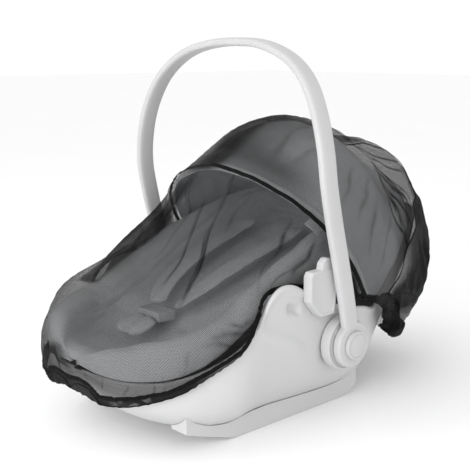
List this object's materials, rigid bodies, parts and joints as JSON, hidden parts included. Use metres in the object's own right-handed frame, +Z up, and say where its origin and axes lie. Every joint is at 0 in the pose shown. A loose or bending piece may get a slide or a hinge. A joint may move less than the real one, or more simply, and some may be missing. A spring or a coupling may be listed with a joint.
{
  "type": "mosquito net on an infant carrier seat",
  "caption": "Fine mesh insect net with a sewn bow seam, elastic hem and gathered back, stretched over an infant carrier seat with hood and swinging handle.",
  "frame": {"origin": "on the ground that the runners stand on, under the middle of the whole", "axes": "+Z up, +Y towards the head end, +X across the carrier to one handle hub"},
  "size_m": [0.442, 0.716, 0.5563],
  "materials": {
    "shell_plastic": "fine grained moulded polypropylene",
    "handle_plastic": "satin moulded plastic",
    "buckle_plastic": "satin moulded plastic",
    "bow_rod": "drawn plastic rod",
    "liner_cloth": "padded woven cloth",
    "hood_cloth": "plain woven cloth",
    "harness_cloth": "padded woven cloth",
    "net_cloth": "fine black knitted mesh",
    "net_hem": "bunched black mesh over elastic",
    "net_tape": "black woven binding"
  },
  "bodies": {
    "carrier": {"belt_guide_far": "shell_plastic", "belt_guide_near": "shell_plastic", "buckle": "buckle_plastic", "crotch_pad": "harness_cloth", "front_hem_elastic": "net_tape", "front_seam_tape": "net_tape", "hood_bow_front": "bow_rod", "hood_bow_rear": "bow_rod", "hood_cloth": "hood_cloth", "hub_housing_far": "shell_plastic", "hub_housing_near": "shell_plastic", "net_front": "net_cloth", "net_hood": "net_cloth", "net_rear": "net_cloth", "rear_hem_gather": "net_hem", "rear_seam_tape": "net_tape", "runner_far": "shell_plastic", "runner_near": "shell_plastic", "seat_liner": "liner_cloth", "shell": "shell_plastic", "shoulder_strap_far": "harness_cloth", "shoulder_strap_near": "harness_cloth"},
    "handle": {"handle": "handle_plastic", "hub_cap_far": "handle_plastic", "hub_cap_near": "handle_plastic"}
  },
  "joints": [
    {"name": "handle_swing", "type": "hinge", "parent": "carrier", "child": "handle", "pos_m": [0, -0.0053, 0.118], "axis": [1, 0, 0], "range_deg": [-100, 0]}
  ]
}
